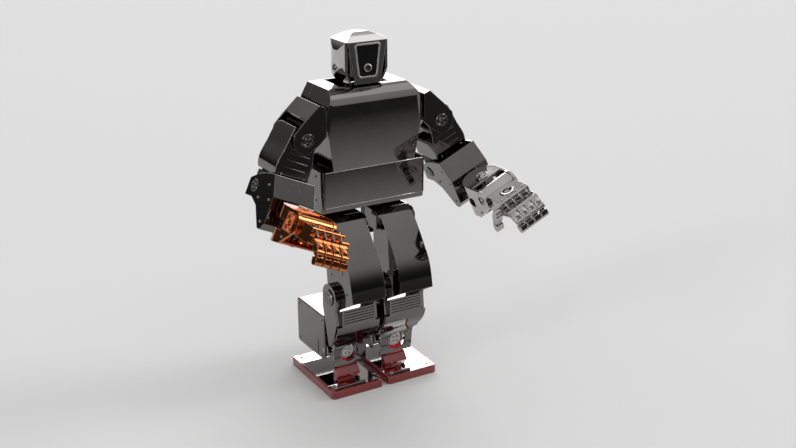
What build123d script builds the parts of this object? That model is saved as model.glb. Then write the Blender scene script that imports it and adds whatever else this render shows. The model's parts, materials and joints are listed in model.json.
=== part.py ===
from build123d import *

import os
from math import cos, radians, sin

# Humanoid robot kit, standing. Millimetres, +Z up, origin on the ground between the feet.
# The face looks to -Y and +X is the robot's left. Left pieces are drawn, right ones mirrored.

# ---- shared sizes ----
gap = 0.3              # clearance between pieces of different bodies
fit = 0.05             # radial clearance of a running pin
wall = 2.0             # wall of the metal covers
pin_r = 4.0            # main joint pins
small_pin_r = 3.0      # ankle and wrist pins
soft_edge = 1.0        # small edge rounding

# ---- torso ----
waist_half = 65.9      # half width of waist housing and hip plate
waist_front = -34.0
torso_back = 32.0
hip_z = 193.0          # hip pitch and roll axes
hip_hang = 29.5        # hip axes below the top of the hip plate
hip_plate_top = hip_z + hip_hang
hip_plate_thick = 6.1
waist_tall = 41.5
waist_top = hip_plate_top + waist_tall
chest_half_bottom = 51.6
chest_half_mid = 60.9
chest_half_top = 48.9
chest_tall = 88.0
chest_top = waist_top + chest_tall
chest_mid_z = chest_top - 27.0
chest_low_z = chest_top - 52.0
chest_low_half = 57.0
chest_front_top = -38.0
chest_break_drop = 14.0
chest_break_z = chest_top - chest_break_drop
chest_crown_y = -15.0
chest_flat_half = 51.4
chest_split_y = 14.0   # the back cover starts here
neck_well_half = 32.0
neck_well_depth = 6.0
neck_y = 4.0
battery_margin = 6.0
back_screw_x = 60.0
back_screw_span = 50.0
back_screw_z = chest_top - 47.0
back_screw_r = 1.3

# ---- head ----
head_front = -20.0
head_back = 25.0
head_lift = 1.5        # head above the chest
head_tall = 55.5
brow_drop = 9.0
head_bottom = chest_top + head_lift
head_top = head_bottom + head_tall
head_face_top = head_top - brow_drop
head_half_bottom = 15.5
head_half_face = 24.0
head_half_mid = 30.0
head_mid_z = head_top - 25.0
head_wall = 2.0
face_half_top = 16.5
face_half_bottom = 12.0
face_top = head_face_top - 2.0
face_tall = 38.0
face_bottom = face_top - face_tall
face_thick = 1.2
lens_z = face_bottom + 11.0
lens_r = 3.7
lens_length = 3.0
tilt_z = head_bottom + 18.5
neck_disc_r = 13.0
neck_disc_thick = 2.0
neck_pin_r = 5.0
neck_pin_length = 9.0
neck_ear_x = 14.0
tilt_pin_r = 2.5
tilt_pin_length = 12.6

# ---- shoulder ----
shoulder_x = 84.5      # roll axis
shoulder_z = chest_top - 47.0
pitch_y = -12.0        # shoulder pitch axis
pitch_z = chest_top - 30.0
yoke_inner_x = 61.5
yoke_front = -38.5
yoke_back = 14.5
yoke_plate = 2.5
yoke_end_r = 16.0
yoke_cover_end = 84.0
shoulder_pin_r = 5.0
shoulder_pin_length = 5.5

# ---- arm, in its own frame: u outward, v forward, w down, from the shoulder roll axis ----
arm_spread = 24.2      # degrees that the arm stands away from the body
arm_back = -10.5
arm_front = 34.0
arm_top = -9.5
arm_bottom = 46.5
elbow_v = 10.0
elbow_w = 65.0
link_inner = 23.0      # half distance between the elbow link's plates
link_plate = 2.5
link_front = 57.0
yaw_v = 82.0           # forearm yaw axis
yaw_servo_half = 8.0
wrist_half = 23.0
wrist_top = 64.5
wrist_bottom = 106.5
wrist_v = 105.0        # wrist pitch axis
wrist_w = 77.0
wrist_r = 13.0
wrist_wall = 3.2
right_yaw = 0.0        # degrees that the right hand is turned inward

# ---- hand ----
palm_end = 150.0
palm_top = 70.0
palm_bottom = 88.0
palm_start = 113.0
knuckle_w = 82.0
finger_wide = 8.2
finger_pitch = 9.8
finger_thick = 8.0
finger_length = 13.0
finger_ear = 1.5
finger_pin_r = 1.5
thumb_v = 137.0
thumb_w = 80.0
thumb_length = 15.0

# ---- leg ----
leg_x = 31.0           # hip roll axis and middle of the thigh
hip_y = -20.0          # hip pitch axis
hip_r = 13.0
thigh_half = 21.1
knee_y = -30.0
knee_z = 115.0
knee_r = 17.0
side_gap = 0.4         # between the thigh's side and the plates beside it
hip_arm = 2.2
hip_bracket_back = 2.5
hip_roll_y = 4.0       # front of the hip roll servos
shin_bar_outer = 6.0
shin_bar_inner = 4.5
shin_plate = 1.8
ankle_x = 32.3
ankle_y = -6.0
ankle_z = 38.5
ankle_hole_r = 11.5
calf_half = 24.0
calf_x = 32.0
calf_front = -10.0
calf_back = 60.0
calf_bottom = 25.5
calf_top = 82.5
foot_inner = 3.0
foot_outer = 70.2
foot_front = -57.6
foot_back = 51.2
foot_thick = 9.6
foot_plate_thick = 1.6
foot_rim = 3.0
foot_corner_r = 5.0
sole_screw_y = 35.0
sole_screw_r = 1.6

os.makedirs("parts", exist_ok=True)


def prism(plane, points, depth, mode=Mode.ADD):
    """Closed outline on a plane, pulled along the plane's normal."""
    with BuildSketch(plane) as profile:
        with BuildLine():
            Polyline(*points, close=True)
        make_face()
    extrude(profile.sketch, amount=depth, mode=mode)


def block(plane, x_range, y_range, depth, mode=Mode.ADD):
    """Rectangle between two corners, pulled along the plane's normal."""
    x0, x1 = x_range
    y0, y1 = y_range
    prism(plane, [(x0, y0), (x1, y0), (x1, y1), (x0, y1)], depth, mode)


def disc(plane, centre, radius, depth, mode=Mode.ADD):
    """Round boss, pin or bore on a plane."""
    with BuildSketch(plane) as profile:
        with Locations(centre):
            Circle(radius)
    extrude(profile.sketch, amount=depth, mode=mode)


def save(shape, name):
    shape.label = name
    export_step(shape, f"parts/{name}.step")


def save_pair(shape, name):
    save(shape, f"left_{name}")
    save(mirror(shape, about=Plane.YZ), f"right_{name}")


# ================= torso =================

hip_plate_bottom = hip_plate_top - hip_plate_thick
hip_servo_half = 12.0
hip_servo_back = hip_roll_y + 30.0
hip_servo_low = hip_z - 13.0

with BuildPart() as hip_plate:
    block(
        Plane.XY.offset(hip_plate_bottom),
        (-waist_half, waist_half),
        (waist_front + 1.5, torso_back),
        hip_plate_thick,
    )
    fillet(hip_plate.edges().filter_by(Axis.Z), radius=4)
    fillet(hip_plate.faces().sort_by(Axis.Z)[0].outer_wire().edges(), radius=soft_edge)
save(hip_plate.part, "hip_plate")

with BuildPart() as hip_servos:
    for side in (-1, 1):
        block(
            Plane.XY.offset(hip_servo_low),
            (side * leg_x - hip_servo_half, side * leg_x + hip_servo_half),
            (hip_roll_y, hip_servo_back),
            hip_plate_bottom - hip_servo_low,
        )
    block(
        Plane.XY.offset(hip_plate_bottom - 8),
        (-leg_x, leg_x),
        (hip_roll_y + 4, hip_servo_back - 4),
        8,
    )
    for side in (-1, 1):
        disc(
            Plane.XZ.offset(-hip_roll_y),
            (side * leg_x, hip_z),
            pin_r + fit,
            -10,
            mode=Mode.SUBTRACT,
        )
save(hip_servos.part, "hip_servos")

with BuildPart() as waist_housing:
    block(
        Plane.XY.offset(hip_plate_top),
        (-waist_half, waist_half),
        (waist_front, torso_back),
        waist_top - hip_plate_top,
    )
    fillet(waist_housing.edges().filter_by(Axis.Z), radius=4)
    block(
        Plane.XY.offset(hip_plate_top + wall),
        (-waist_half + wall, waist_half - wall),
        (waist_front + wall, torso_back - wall),
        waist_top - hip_plate_top,
        mode=Mode.SUBTRACT,
    )
save(waist_housing.part, "waist_housing")

with BuildPart() as battery_pack:
    block(
        Plane.XY.offset(hip_plate_top + wall),
        (-waist_half + wall + battery_margin, waist_half - wall - battery_margin),
        (waist_front + wall + battery_margin, torso_back - wall - battery_margin),
        waist_top - hip_plate_top - wall - battery_margin,
    )
    fillet(battery_pack.edges().filter_by(Axis.Z), radius=3)
save(battery_pack.part, "battery_pack")

chest_outline = [
    (-chest_half_bottom, waist_top),
    (chest_half_bottom, waist_top),
    (chest_low_half, chest_low_z),
    (chest_half_mid, chest_mid_z),
    (chest_low_half, chest_break_z),
    (chest_half_top, chest_top),
    (-chest_half_top, chest_top),
    (-chest_low_half, chest_break_z),
    (-chest_half_mid, chest_mid_z),
    (-chest_low_half, chest_low_z),
]


def chest_side(inset):
    """Side outline of the chest (Y, Z), pulled in by a wall."""
    with BuildSketch(Plane.YZ) as outline:
        with BuildLine():
            front = Line((waist_front + inset, waist_top), (chest_front_top + inset, chest_break_z))
            crown_end = (chest_crown_y, chest_top - inset)
            crown_mid = (chest_crown_y - 14 + inset / 2, chest_top - 4.5 - inset)
            crown = ThreePointArc(front @ 1, crown_mid, crown_end)
            Polyline(
                crown @ 1,
                (torso_back - inset, chest_top - inset),
                (torso_back - inset, waist_top),
                front @ 0,
            )
        make_face()
    return outline.sketch


def chest_mass(inset):
    """Whole chest body, pulled in by a wall: front outline crossed with side outline."""
    with BuildPart() as mass:
        extrude(chest_side(inset), amount=waist_half, both=True)
        with BuildSketch(Plane.XZ) as front:
            with BuildLine():
                Polyline(*chest_outline, close=True)
            make_face()
            if inset:
                offset(amount=-inset, kind=Kind.INTERSECTION, mode=Mode.REPLACE)
        extrude(front.sketch, amount=100, both=True, mode=Mode.INTERSECT)
    return mass.part


chest_outer = chest_mass(0)
chest_inner = chest_mass(wall)
well_floor = chest_top - neck_well_depth

with BuildPart() as chest_shell:
    add(chest_outer)
    split(bisect_by=Plane.XZ.offset(-chest_split_y), keep=Keep.TOP)
    # side strips beside the flat front
    for side in (-1, 1):
        strip = [
            (side * chest_flat_half, chest_front_top - 2),
            (side * (chest_half_mid + 2), chest_front_top - 2),
            (side * (chest_half_mid + 2), chest_front_top + 3.4),
            (side * chest_flat_half, waist_front - 4.2),
        ]
        prism(Plane.XY.offset(waist_top), strip, chest_top, mode=Mode.SUBTRACT)
    # hollow, open to the back cover and the waist
    add(chest_inner, mode=Mode.SUBTRACT)
    # well around the neck, with a floor
    well_x = (-neck_well_half, neck_well_half)
    well_y = (chest_crown_y, chest_split_y)
    block(Plane.XY.offset(well_floor - wall), well_x, well_y, neck_well_depth + wall - 0.1)
    block(
        Plane.XY.offset(well_floor),
        (-neck_well_half + wall, neck_well_half - wall),
        (chest_crown_y + wall, chest_split_y),
        neck_well_depth + 1,
        mode=Mode.SUBTRACT,
    )
    disc(
        Plane.XY.offset(well_floor - wall),
        (0, neck_y),
        neck_pin_r + fit,
        wall,
        mode=Mode.SUBTRACT,
    )
    disc(
        Plane.YZ.offset(-yoke_inner_x),
        (pitch_y, pitch_z),
        shoulder_pin_r + fit,
        2 * yoke_inner_x,
        mode=Mode.SUBTRACT,
    )
save(chest_shell.part, "chest_shell")

with BuildPart() as back_cover:
    add(chest_outer)
    split(bisect_by=Plane.XZ.offset(-chest_split_y - gap / 3), keep=Keep.BOTTOM)
    edges = back_cover.faces().sort_by(Axis.Y)[-1].edges()
    chamfer(edges, length=2.2)
    add(chest_inner, mode=Mode.SUBTRACT)
    block(
        Plane.XY.offset(well_floor),
        (-neck_well_half + wall, neck_well_half - wall),
        (chest_split_y, torso_back - 4),
        neck_well_depth + 1,
        mode=Mode.SUBTRACT,
    )
    with Locations(Plane.XZ.offset(-torso_back)):
        with Locations((0, back_screw_z)):
            with GridLocations(back_screw_x, back_screw_span, 2, 2):
                Cylinder(radius=back_screw_r, height=4 * wall, mode=Mode.SUBTRACT)
save(back_cover.part, "back_cover")

servo_body = (36.0, 24.0, 45.0)   # width, depth and height of one servo
servo_reach = chest_half_mid - wall - 4.0

with BuildPart() as shoulder_servos:
    for side in (-1, 1):
        block(
            Plane.XY.offset(pitch_z - servo_body[1] / 2),
            (side * (servo_reach - servo_body[0]), side * servo_reach),
            (pitch_y - 12, pitch_y + 12),
            servo_body[1],
        )
    block(
        Plane.XY.offset(pitch_z - servo_body[1] / 2),
        (-servo_reach + 2, servo_reach - 2),
        (pitch_y - 8, pitch_y + 8),
        4,
    )
    for side in (-1, 1):
        disc(
            Plane.YZ.offset(side * servo_reach),
            (pitch_y, pitch_z),
            shoulder_pin_r + fit,
            -side * shoulder_pin_length,
            mode=Mode.SUBTRACT,
        )
save(shoulder_servos.part, "shoulder_servos")

# ================= neck and head =================

disc_z = well_floor + gap

with BuildPart() as neck_bracket:
    disc(Plane.XY.offset(disc_z), (0, neck_y), neck_disc_r, neck_disc_thick)
    disc(Plane.XY.offset(disc_z), (0, neck_y), neck_pin_r, -neck_pin_length)
    ear_thick = 2.0
    ear_wide = 10.0
    block(
        Plane.XY.offset(disc_z + neck_disc_thick - 0.5),
        (-neck_ear_x, neck_ear_x),
        (neck_y - ear_wide / 2, neck_y + ear_wide / 2),
        2.5,
    )
    for side in (-1, 1):
        block(
            Plane.YZ.offset(side * neck_ear_x),
            (neck_y - ear_wide / 2, neck_y + ear_wide / 2),
            (disc_z + neck_disc_thick - 0.5, tilt_z),
            -side * ear_thick,
        )
        ear = Plane.YZ.offset(side * neck_ear_x)
        disc(ear, (neck_y, tilt_z), ear_wide / 2, -side * ear_thick)
        disc(ear, (neck_y, tilt_z), tilt_pin_r, side * tilt_pin_length)
save(neck_bracket.part, "neck_bracket")


def head_mass(inset):
    """Helmet: front, side and top outlines crossed, pulled in by a wall."""
    with BuildPart() as mass:
        with BuildSketch(Plane.YZ) as side_view:
            with BuildLine():
                chin = (head_front + inset, head_bottom)
                brow = (head_front + inset, head_face_top - inset)
                crown = (neck_y, head_top - inset)
                rear = (head_back - inset, tilt_z + 8)
                nape = (head_back - 6 - inset, head_bottom)
                Line(chin, brow)
                ThreePointArc(brow, (-10.0, head_top - 3.2 - inset), crown)
                ThreePointArc(crown, (head_back - 7.5 - inset, head_top - 9 - inset), rear)
                Line(rear, nape)
                Line(nape, chin)
            make_face()
        extrude(side_view.sketch, amount=head_half_mid + 1, both=True)
        with BuildSketch(Plane.XZ) as front_view:
            with BuildLine():
                for side in (-1, 1):
                    jaw = (side * (head_half_bottom + 4 - inset), head_bottom)
                    cheek = (side * (head_half_mid - inset), head_mid_z)
                    temple = (side * (head_half_face + 2 - inset), head_face_top)
                    ThreePointArc(jaw, (side * (head_half_mid - 3.5 - inset), head_mid_z - 16), cheek)
                    ThreePointArc(cheek, (side * (head_half_mid - 0.8 - inset), head_mid_z + 9), temple)
                Line((-head_half_bottom - 4 + inset, head_bottom), (head_half_bottom + 4 - inset, head_bottom))
                ThreePointArc(
                    (-head_half_face - 2 + inset, head_face_top),
                    (0, head_top - inset),
                    (head_half_face + 2 - inset, head_face_top),
                )
            make_face()
        extrude(front_view.sketch, amount=60, both=True, mode=Mode.INTERSECT)
        with BuildSketch(Plane.XY.offset(head_bottom)) as top_view:
            with BuildLine():
                for side in (-1, 1):
                    ThreePointArc(
                        (side * (head_half_face + 1 - inset), head_front + inset),
                        (side * (head_half_mid - inset), 2.0),
                        (side * (head_half_face - 4 - inset), head_back - inset),
                    )
                Line(
                    (-head_half_face - 1 + inset, head_front + inset),
                    (head_half_face + 1 - inset, head_front + inset),
                )
                Line(
                    (-head_half_face + 4 + inset, head_back - inset),
                    (head_half_face - 4 - inset, head_back - inset),
                )
            make_face()
        extrude(top_view.sketch, amount=head_top - head_bottom, mode=Mode.INTERSECT)
    return mass.part


def face_outline(grow):
    return [
        (-face_half_bottom - grow, face_bottom - grow),
        (face_half_bottom + grow, face_bottom - grow),
        (face_half_top + grow, face_top + grow),
        (-face_half_top - grow, face_top + grow),
    ]


with BuildPart() as head_shell:
    add(head_mass(0))
    # front cheeks slant in beside the face
    for side in (-1, 1):
        cheek_cut = [
            (side * head_half_bottom, head_bottom - 1),
            (side * head_half_face, head_face_top),
            (side * (head_half_mid + 4), head_face_top),
            (side * (head_half_mid + 4), head_bottom - 1),
        ]
        prism(Plane.XZ.offset(-head_front - 3), cheek_cut, 3.1, mode=Mode.SUBTRACT)
    add(head_mass(head_wall), mode=Mode.SUBTRACT)
    # frame behind the face plate
    prism(Plane.XZ.offset(-head_front - face_thick), face_outline(0), -1.5)
    prism(Plane.XZ.offset(-head_front), face_outline(gap / 3), -face_thick, mode=Mode.SUBTRACT)
    disc(Plane.YZ.offset(-40), (neck_y, tilt_z), tilt_pin_r + fit, 80, mode=Mode.SUBTRACT)
save(head_shell.part, "head_shell")

with BuildPart() as face_plate:
    prism(Plane.XZ.offset(-head_front), face_outline(0), -face_thick)
    fillet(face_plate.edges().filter_by(Axis.Y), radius=2)
    disc(Plane.XZ.offset(-head_front), (0, lens_z), lens_r, -face_thick, mode=Mode.SUBTRACT)
save(face_plate.part, "face_plate")

with BuildPart() as camera_lens:
    disc(Plane.XZ.offset(-head_front - face_thick), (0, lens_z), lens_r - 0.1, lens_length)
    fillet(camera_lens.faces().sort_by(Axis.Y)[0].edges(), radius=0.6)
    disc(Plane.XZ.offset(-head_front - face_thick + lens_length), (0, lens_z), 1.6, -0.8, mode=Mode.SUBTRACT)
save(camera_lens.part, "camera_lens")

# ================= arms =================


class LimbFrame:
    """Planes of a limb: u across it, v forward, w along it."""

    def __init__(self, origin, u, v, w):
        self.origin = origin
        self.u = u
        self.v = v
        self.w = w

    def side(self, u0):
        """Sketch plane with (v, w) coordinates that faces +u."""
        return Plane(origin=self.origin + self.u * u0, x_dir=self.v, z_dir=self.u)

    def front(self, v0):
        """Sketch plane with (u, w) coordinates that faces -v."""
        return Plane(origin=self.origin + self.v * v0, x_dir=self.u, z_dir=-self.v)

    def top(self, w0):
        """Sketch plane with (u, v) coordinates that faces +w."""
        return Plane(origin=self.origin + self.w * w0, x_dir=self.u, z_dir=self.w)

    def yawed(self, v0, angle):
        """The same frame turned about the line u = 0, v = v0, towards -u."""
        turn_u = self.u * cos(radians(angle)) + self.v * sin(radians(angle))
        turn_v = self.v * cos(radians(angle)) - self.u * sin(radians(angle))
        return LimbFrame(self.origin + (self.v - turn_v) * v0, turn_u, turn_v, self.w)


spread = radians(arm_spread)
arm = LimbFrame(
    Vector(shoulder_x, 0, shoulder_z),
    Vector(cos(spread), 0, sin(spread)),
    Vector(0, -1, 0),
    Vector(sin(spread), 0, -cos(spread)),
)

yoke_outline = [
    (yoke_inner_x, shoulder_z + 1),
    (yoke_inner_x, shoulder_z + 33.0),
    (shoulder_x - 15.5, shoulder_z + 36.0),
    (shoulder_x + 2.5, shoulder_z + 20.0),
    (shoulder_x + 14.5, shoulder_z + 8.0),
    (shoulder_x + yoke_end_r, shoulder_z),
    (shoulder_x, shoulder_z - yoke_end_r),
    (shoulder_x - 14.5, shoulder_z - 7.0),
]

with BuildPart() as shoulder_yoke:
    with BuildSketch(Plane.XZ.offset(-yoke_back)) as yoke_face:
        with BuildLine():
            Polyline(*yoke_outline[:6])
            ThreePointArc(
                yoke_outline[5],
                (shoulder_x + yoke_end_r * 0.7071, shoulder_z - yoke_end_r * 0.7071),
                yoke_outline[6],
            )
            Polyline(yoke_outline[6], yoke_outline[7], yoke_outline[0])
        make_face()
    extrude(yoke_face.sketch, amount=yoke_back - yoke_front)
    # room for the upper arm, open outward and below
    room = [
        (yoke_inner_x + wall, shoulder_z - 40),
        (yoke_inner_x + wall, shoulder_z + 31.5),
        (shoulder_x - 16.1, shoulder_z + 33.2),
        (yoke_cover_end, shoulder_z + 19.6),
        (yoke_cover_end, shoulder_z + 40.0),
        (shoulder_x + 46.0, shoulder_z + 40.0),
        (shoulder_x + 46.0, shoulder_z - 40),
    ]
    room_depth = yoke_back - yoke_front - 2 * yoke_plate
    prism(Plane.XZ.offset(-yoke_back + yoke_plate), room, room_depth, mode=Mode.SUBTRACT)
    block(
        Plane.XZ.offset(-yoke_back + yoke_plate),
        (yoke_inner_x - 1, yoke_inner_x + wall + 1),
        (shoulder_z - 10, shoulder_z + 2),
        room_depth,
        mode=Mode.SUBTRACT,
    )
    disc(
        Plane.XZ.offset(-yoke_back - 1),
        (shoulder_x, shoulder_z),
        shoulder_pin_r + fit,
        yoke_back - yoke_front + 2,
        mode=Mode.SUBTRACT,
    )
    disc(Plane.YZ.offset(yoke_inner_x + wall), (pitch_y, pitch_z), 9.0, 1.0)
    disc(
        Plane.YZ.offset(yoke_inner_x),
        (pitch_y, pitch_z),
        shoulder_pin_r,
        -shoulder_pin_length - 1.5,
    )
save_pair(shoulder_yoke.part, "shoulder_yoke")

# S-shaped outer edge and narrow lower end, in (u, w)
shell_outline = [
    (-16.0, arm_top),
    (16.5, arm_top),
    (18.4, 6.0),
    (19.8, 17.0),
    (22.4, 31.0),
    (19.0, arm_bottom),
    (-21.0, arm_bottom),
    (-20.0, 26.0),
    (-16.0, 11.0),
]
arm_depth = arm_front - arm_back

with BuildPart() as upper_arm_shell:
    with BuildSketch(arm.front(arm_front)) as shell_face:
        with BuildLine():
            Polyline(*shell_outline[:2])
            Spline(shell_outline[1], (18.4, 6.0), (19.8, 17.0), (22.2, 31.0), shell_outline[5])
            Polyline(shell_outline[5:6] + shell_outline[6:] + shell_outline[:1])
        make_face()
    extrude(shell_face.sketch, amount=arm_depth)
    back_edges = upper_arm_shell.edges().filter_by(lambda e: abs((e @ 0.5).Y + arm_back) < 0.01)
    top_back = back_edges.sort_by(lambda e: -(e @ 0.5).Z)[0]
    fillet(top_back, radius=12)
    front_edges = upper_arm_shell.edges().filter_by(lambda e: abs((e @ 0.5).Y + arm_front) < 0.01)
    fillet(front_edges, radius=soft_edge)
    # hollow, open below
    room_u = (-14.0, 14.4)
    block(
        arm.front(arm_front - wall),
        room_u,
        (arm_top + wall + 4, arm_bottom + 1),
        arm_depth - 2 * wall,
        mode=Mode.SUBTRACT,
    )
    block(
        arm.front(arm_front - wall),
        (-18.6, 17.4),
        (27.0, arm_bottom + 1),
        arm_depth - 2 * wall,
        mode=Mode.SUBTRACT,
    )
    washer = 1.6
    disc(arm.front(arm_front), (0, 0), 9.0, -washer)
    disc(arm.front(arm_front), (0, 0), shoulder_pin_r, -(-yoke_front - arm_front))
    disc(arm.front(arm_back), (0, 0), 9.0, washer - 0.4)
    disc(arm.front(arm_back), (0, 0), shoulder_pin_r, yoke_back + arm_back)
save_pair(upper_arm_shell.part, "upper_arm_shell")

elbow_servo_half = link_inner - 2.0
with BuildPart() as upper_arm_servos:
    # shoulder roll servo above, elbow servo below
    block(
        arm.front(arm_front - wall - gap),
        (-14.0 + gap, 14.4 - gap),
        (arm_top + wall + 4 + gap, 30.0),
        arm_depth - 2 * wall - 2 * gap,
    )
    block(
        arm.front(25.0),
        (-17.2, 17.2),
        (29.0, 58.0),
        28.0,
    )
    block(
        arm.front(25.0),
        (-elbow_servo_half, elbow_servo_half),
        (arm_bottom + 1.5, 77.0),
        28.0,
    )
    for side in (-1, 1):
        disc(arm.side(side * elbow_servo_half), (elbow_v, elbow_w), 7.5, side * 1.7)
        reach = link_inner + link_plate - elbow_servo_half - 0.2
        disc(arm.side(side * elbow_servo_half), (elbow_v, elbow_w), pin_r, side * reach)
save_pair(upper_arm_servos.part, "upper_arm_servos")

link_outline = [
    (-5.0, 60.0),
    (-5.0, 79.0),
    (11.0, 77.5),
    (26.0, 83.0),
    (45.0, 103.0),
    (50.0, 103.0),
    (link_front, 95.0),
    (link_front, 65.0),
    (43.0, 43.0),
]
link_crown = (22.0, 47.5)

with BuildPart() as elbow_link:
    for u_start in (-link_inner - link_plate, link_inner):
        with BuildSketch(arm.side(u_start)) as link_face:
            with BuildLine():
                Polyline(*link_outline)
                ThreePointArc(link_outline[-1], link_crown, link_outline[0])
            make_face()
        extrude(link_face.sketch, amount=link_plate)
    full = 2 * link_inner + 1.0
    # front wall, slanted brow and floor between the plates
    link_walls = [
        (43.0, 43.0),
        (link_front, 65.0),
        (link_front, 95.0),
        (50.0, 103.0),
        (45.0, 103.0),
        (26.0, 83.0),
        (28.0, 82.0),
        (45.6, 100.6),
        (49.0, 100.6),
        (link_front - wall, 94.0),
        (link_front - wall, 65.6),
        (42.4, 45.6),
    ]
    prism(arm.side(-full / 2), link_walls, full)
    # forearm yaw servo inside, and its arm that carries the vertical pin
    block(arm.side(-17.0), (38.0, link_front - wall + 0.5), (70.0, 94.0), 34.0)
    arm_mid = (wrist_top + wrist_bottom) / 2
    block(
        arm.top(arm_mid - 5),
        (-yaw_servo_half, yaw_servo_half),
        (link_front - 1, yaw_v),
        10,
    )
    disc(arm.top(arm_mid - 5), (0, yaw_v), yaw_servo_half, 10)
    pin_half = (wrist_bottom - wrist_top) / 2 - 0.5
    disc(arm.top(arm_mid - pin_half), (0, yaw_v), small_pin_r, 2 * pin_half)
    disc(arm.side(-40), (elbow_v, elbow_w), pin_r + fit, 80, mode=Mode.SUBTRACT)
save_pair(elbow_link.part, "elbow_link")

# ================= wrist and hand =================


def cos_deg(angle):
    return cos(radians(angle))


def sin_deg(angle):
    return sin(radians(angle))


def make_wrist_housing(hand):
    """Round-backed housing that turns on the elbow link's pin and forks around the palm."""
    wrist_back = yaw_v - wrist_half
    palm_room = wrist_half - wrist_wall
    with BuildPart() as housing:
        with BuildSketch(hand.side(-wrist_half)) as profile:
            with BuildLine():
                low = Polyline((100.0, wrist_top), (wrist_back, wrist_top + 1.5), (wrist_back, 90.0))
                chin = ThreePointArc(low @ 1, (64.0, 103.0), (76.0, wrist_bottom))
                belly = Polyline(chin @ 1, (92.0, 104.0), (wrist_v + 11.0, wrist_w + 7.0))
                nose = ThreePointArc(
                    belly @ 1,
                    (wrist_v + wrist_r * 0.94, wrist_w - 4.4),
                    (wrist_v, wrist_w - wrist_r),
                )
                Line(nose @ 1, low @ 0)
            make_face()
        extrude(profile.sketch, amount=2 * wrist_half)
        # round back about the yaw axis
        with BuildSketch(hand.top(wrist_top - 1)) as plan:
            with Locations((0, yaw_v)):
                Circle(wrist_half)
            with Locations((0, yaw_v + 30)):
                Rectangle(2 * wrist_half, 60)
        extrude(plan.sketch, amount=wrist_bottom - wrist_top + 2, mode=Mode.INTERSECT)
        # hollow behind, open slot between the cheeks in front
        with BuildSketch(hand.top(wrist_top + 2.5)) as hollow:
            with Locations((0, yaw_v)):
                Circle(palm_room)
        extrude(hollow.sketch, amount=96.5 - wrist_top, mode=Mode.SUBTRACT)
        prism(
            hand.side(-palm_room),
            [
                (91.0, wrist_top - 1),
                (125.0, wrist_top - 1),
                (125.0, wrist_bottom + 1),
                (98.0, wrist_bottom + 1),
                (91.0, 98.0),
            ],
            2 * palm_room,
            mode=Mode.SUBTRACT,
        )
        # slot in which the elbow link's arm swings
        slot_half = 5.6
        slot_mid = (wrist_top + wrist_bottom) / 2
        with BuildSketch(hand.top(slot_mid - slot_half)) as slot:
            with Locations((0, yaw_v)):
                Circle(wrist_half + 1)
            with Locations((0, yaw_v + 51)):
                Rectangle(120, 80, mode=Mode.SUBTRACT)
        extrude(slot.sketch, amount=2 * slot_half, mode=Mode.SUBTRACT)
        disc(hand.top(0), (0, yaw_v), small_pin_r + fit, 150, mode=Mode.SUBTRACT)
        disc(hand.side(-40), (wrist_v, wrist_w), small_pin_r + fit, 80, mode=Mode.SUBTRACT)
    return housing.part


def make_palm(hand):
    """Palm with its wrist barrel, two wrist pins and five knuckle lugs."""
    palm_half = wrist_half - wrist_wall - gap
    barrel_r = wrist_r - 1.0
    lug_thick = finger_pitch - finger_wide - 2 * gap
    with BuildPart() as palm:
        block(hand.side(-palm_half), (palm_start, 142.0), (palm_top, palm_bottom), 2 * palm_half)
        fillet(palm.edges().filter_by(lambda e: abs(e.length - 2 * palm_half) < 0.01), radius=2.5)
        disc(hand.side(-palm_half), (wrist_v, wrist_w), barrel_r, 2 * palm_half)
        block(
            hand.side(-palm_half + 3),
            (wrist_v, palm_start + 3),
            (wrist_w - 6.0, wrist_w + 8.0),
            2 * palm_half - 6,
        )
        # round recess in the back of the hand
        disc(hand.top(palm_top), (0, 128.0), 9.0, 1.2, mode=Mode.SUBTRACT)
        disc(hand.top(palm_top), (0, 128.0), 3.0, 1.2)
        for side in (-1, 1):
            reach = wrist_wall + gap - 0.3
            disc(hand.side(side * palm_half), (wrist_v, wrist_w), small_pin_r, side * reach)
        # knuckle lugs
        for k in range(5):
            u0 = (k - 2) * finger_pitch - lug_thick / 2
            block(hand.side(u0), (141.0, palm_end), (knuckle_w - 3.5, knuckle_w + 3.5), lug_thick)
            disc(hand.side(u0), (palm_end, knuckle_w), 3.5, lug_thick)
        disc(hand.side(-30), (palm_end, knuckle_w), finger_pin_r + fit, 60, mode=Mode.SUBTRACT)
        disc(hand.side(-palm_half - 1), (thumb_v, thumb_w), finger_pin_r + fit, 4.5, mode=Mode.SUBTRACT)
    return palm.part


def along(start, angle, distance):
    """Point at a distance from start, below the forward direction by angle."""
    return (start[0] + distance * cos_deg(angle), start[1] + distance * sin_deg(angle))


def bar_outline(start, angle, begin, end, half):
    """Rectangle along a finger, from begin to end."""
    corners = []
    for distance, offset_by in ((begin, -half), (end, -half), (end, half), (begin, half)):
        point = along(start, angle, distance)
        corners.append(along(point, angle + 90, offset_by))
    return corners


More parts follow.
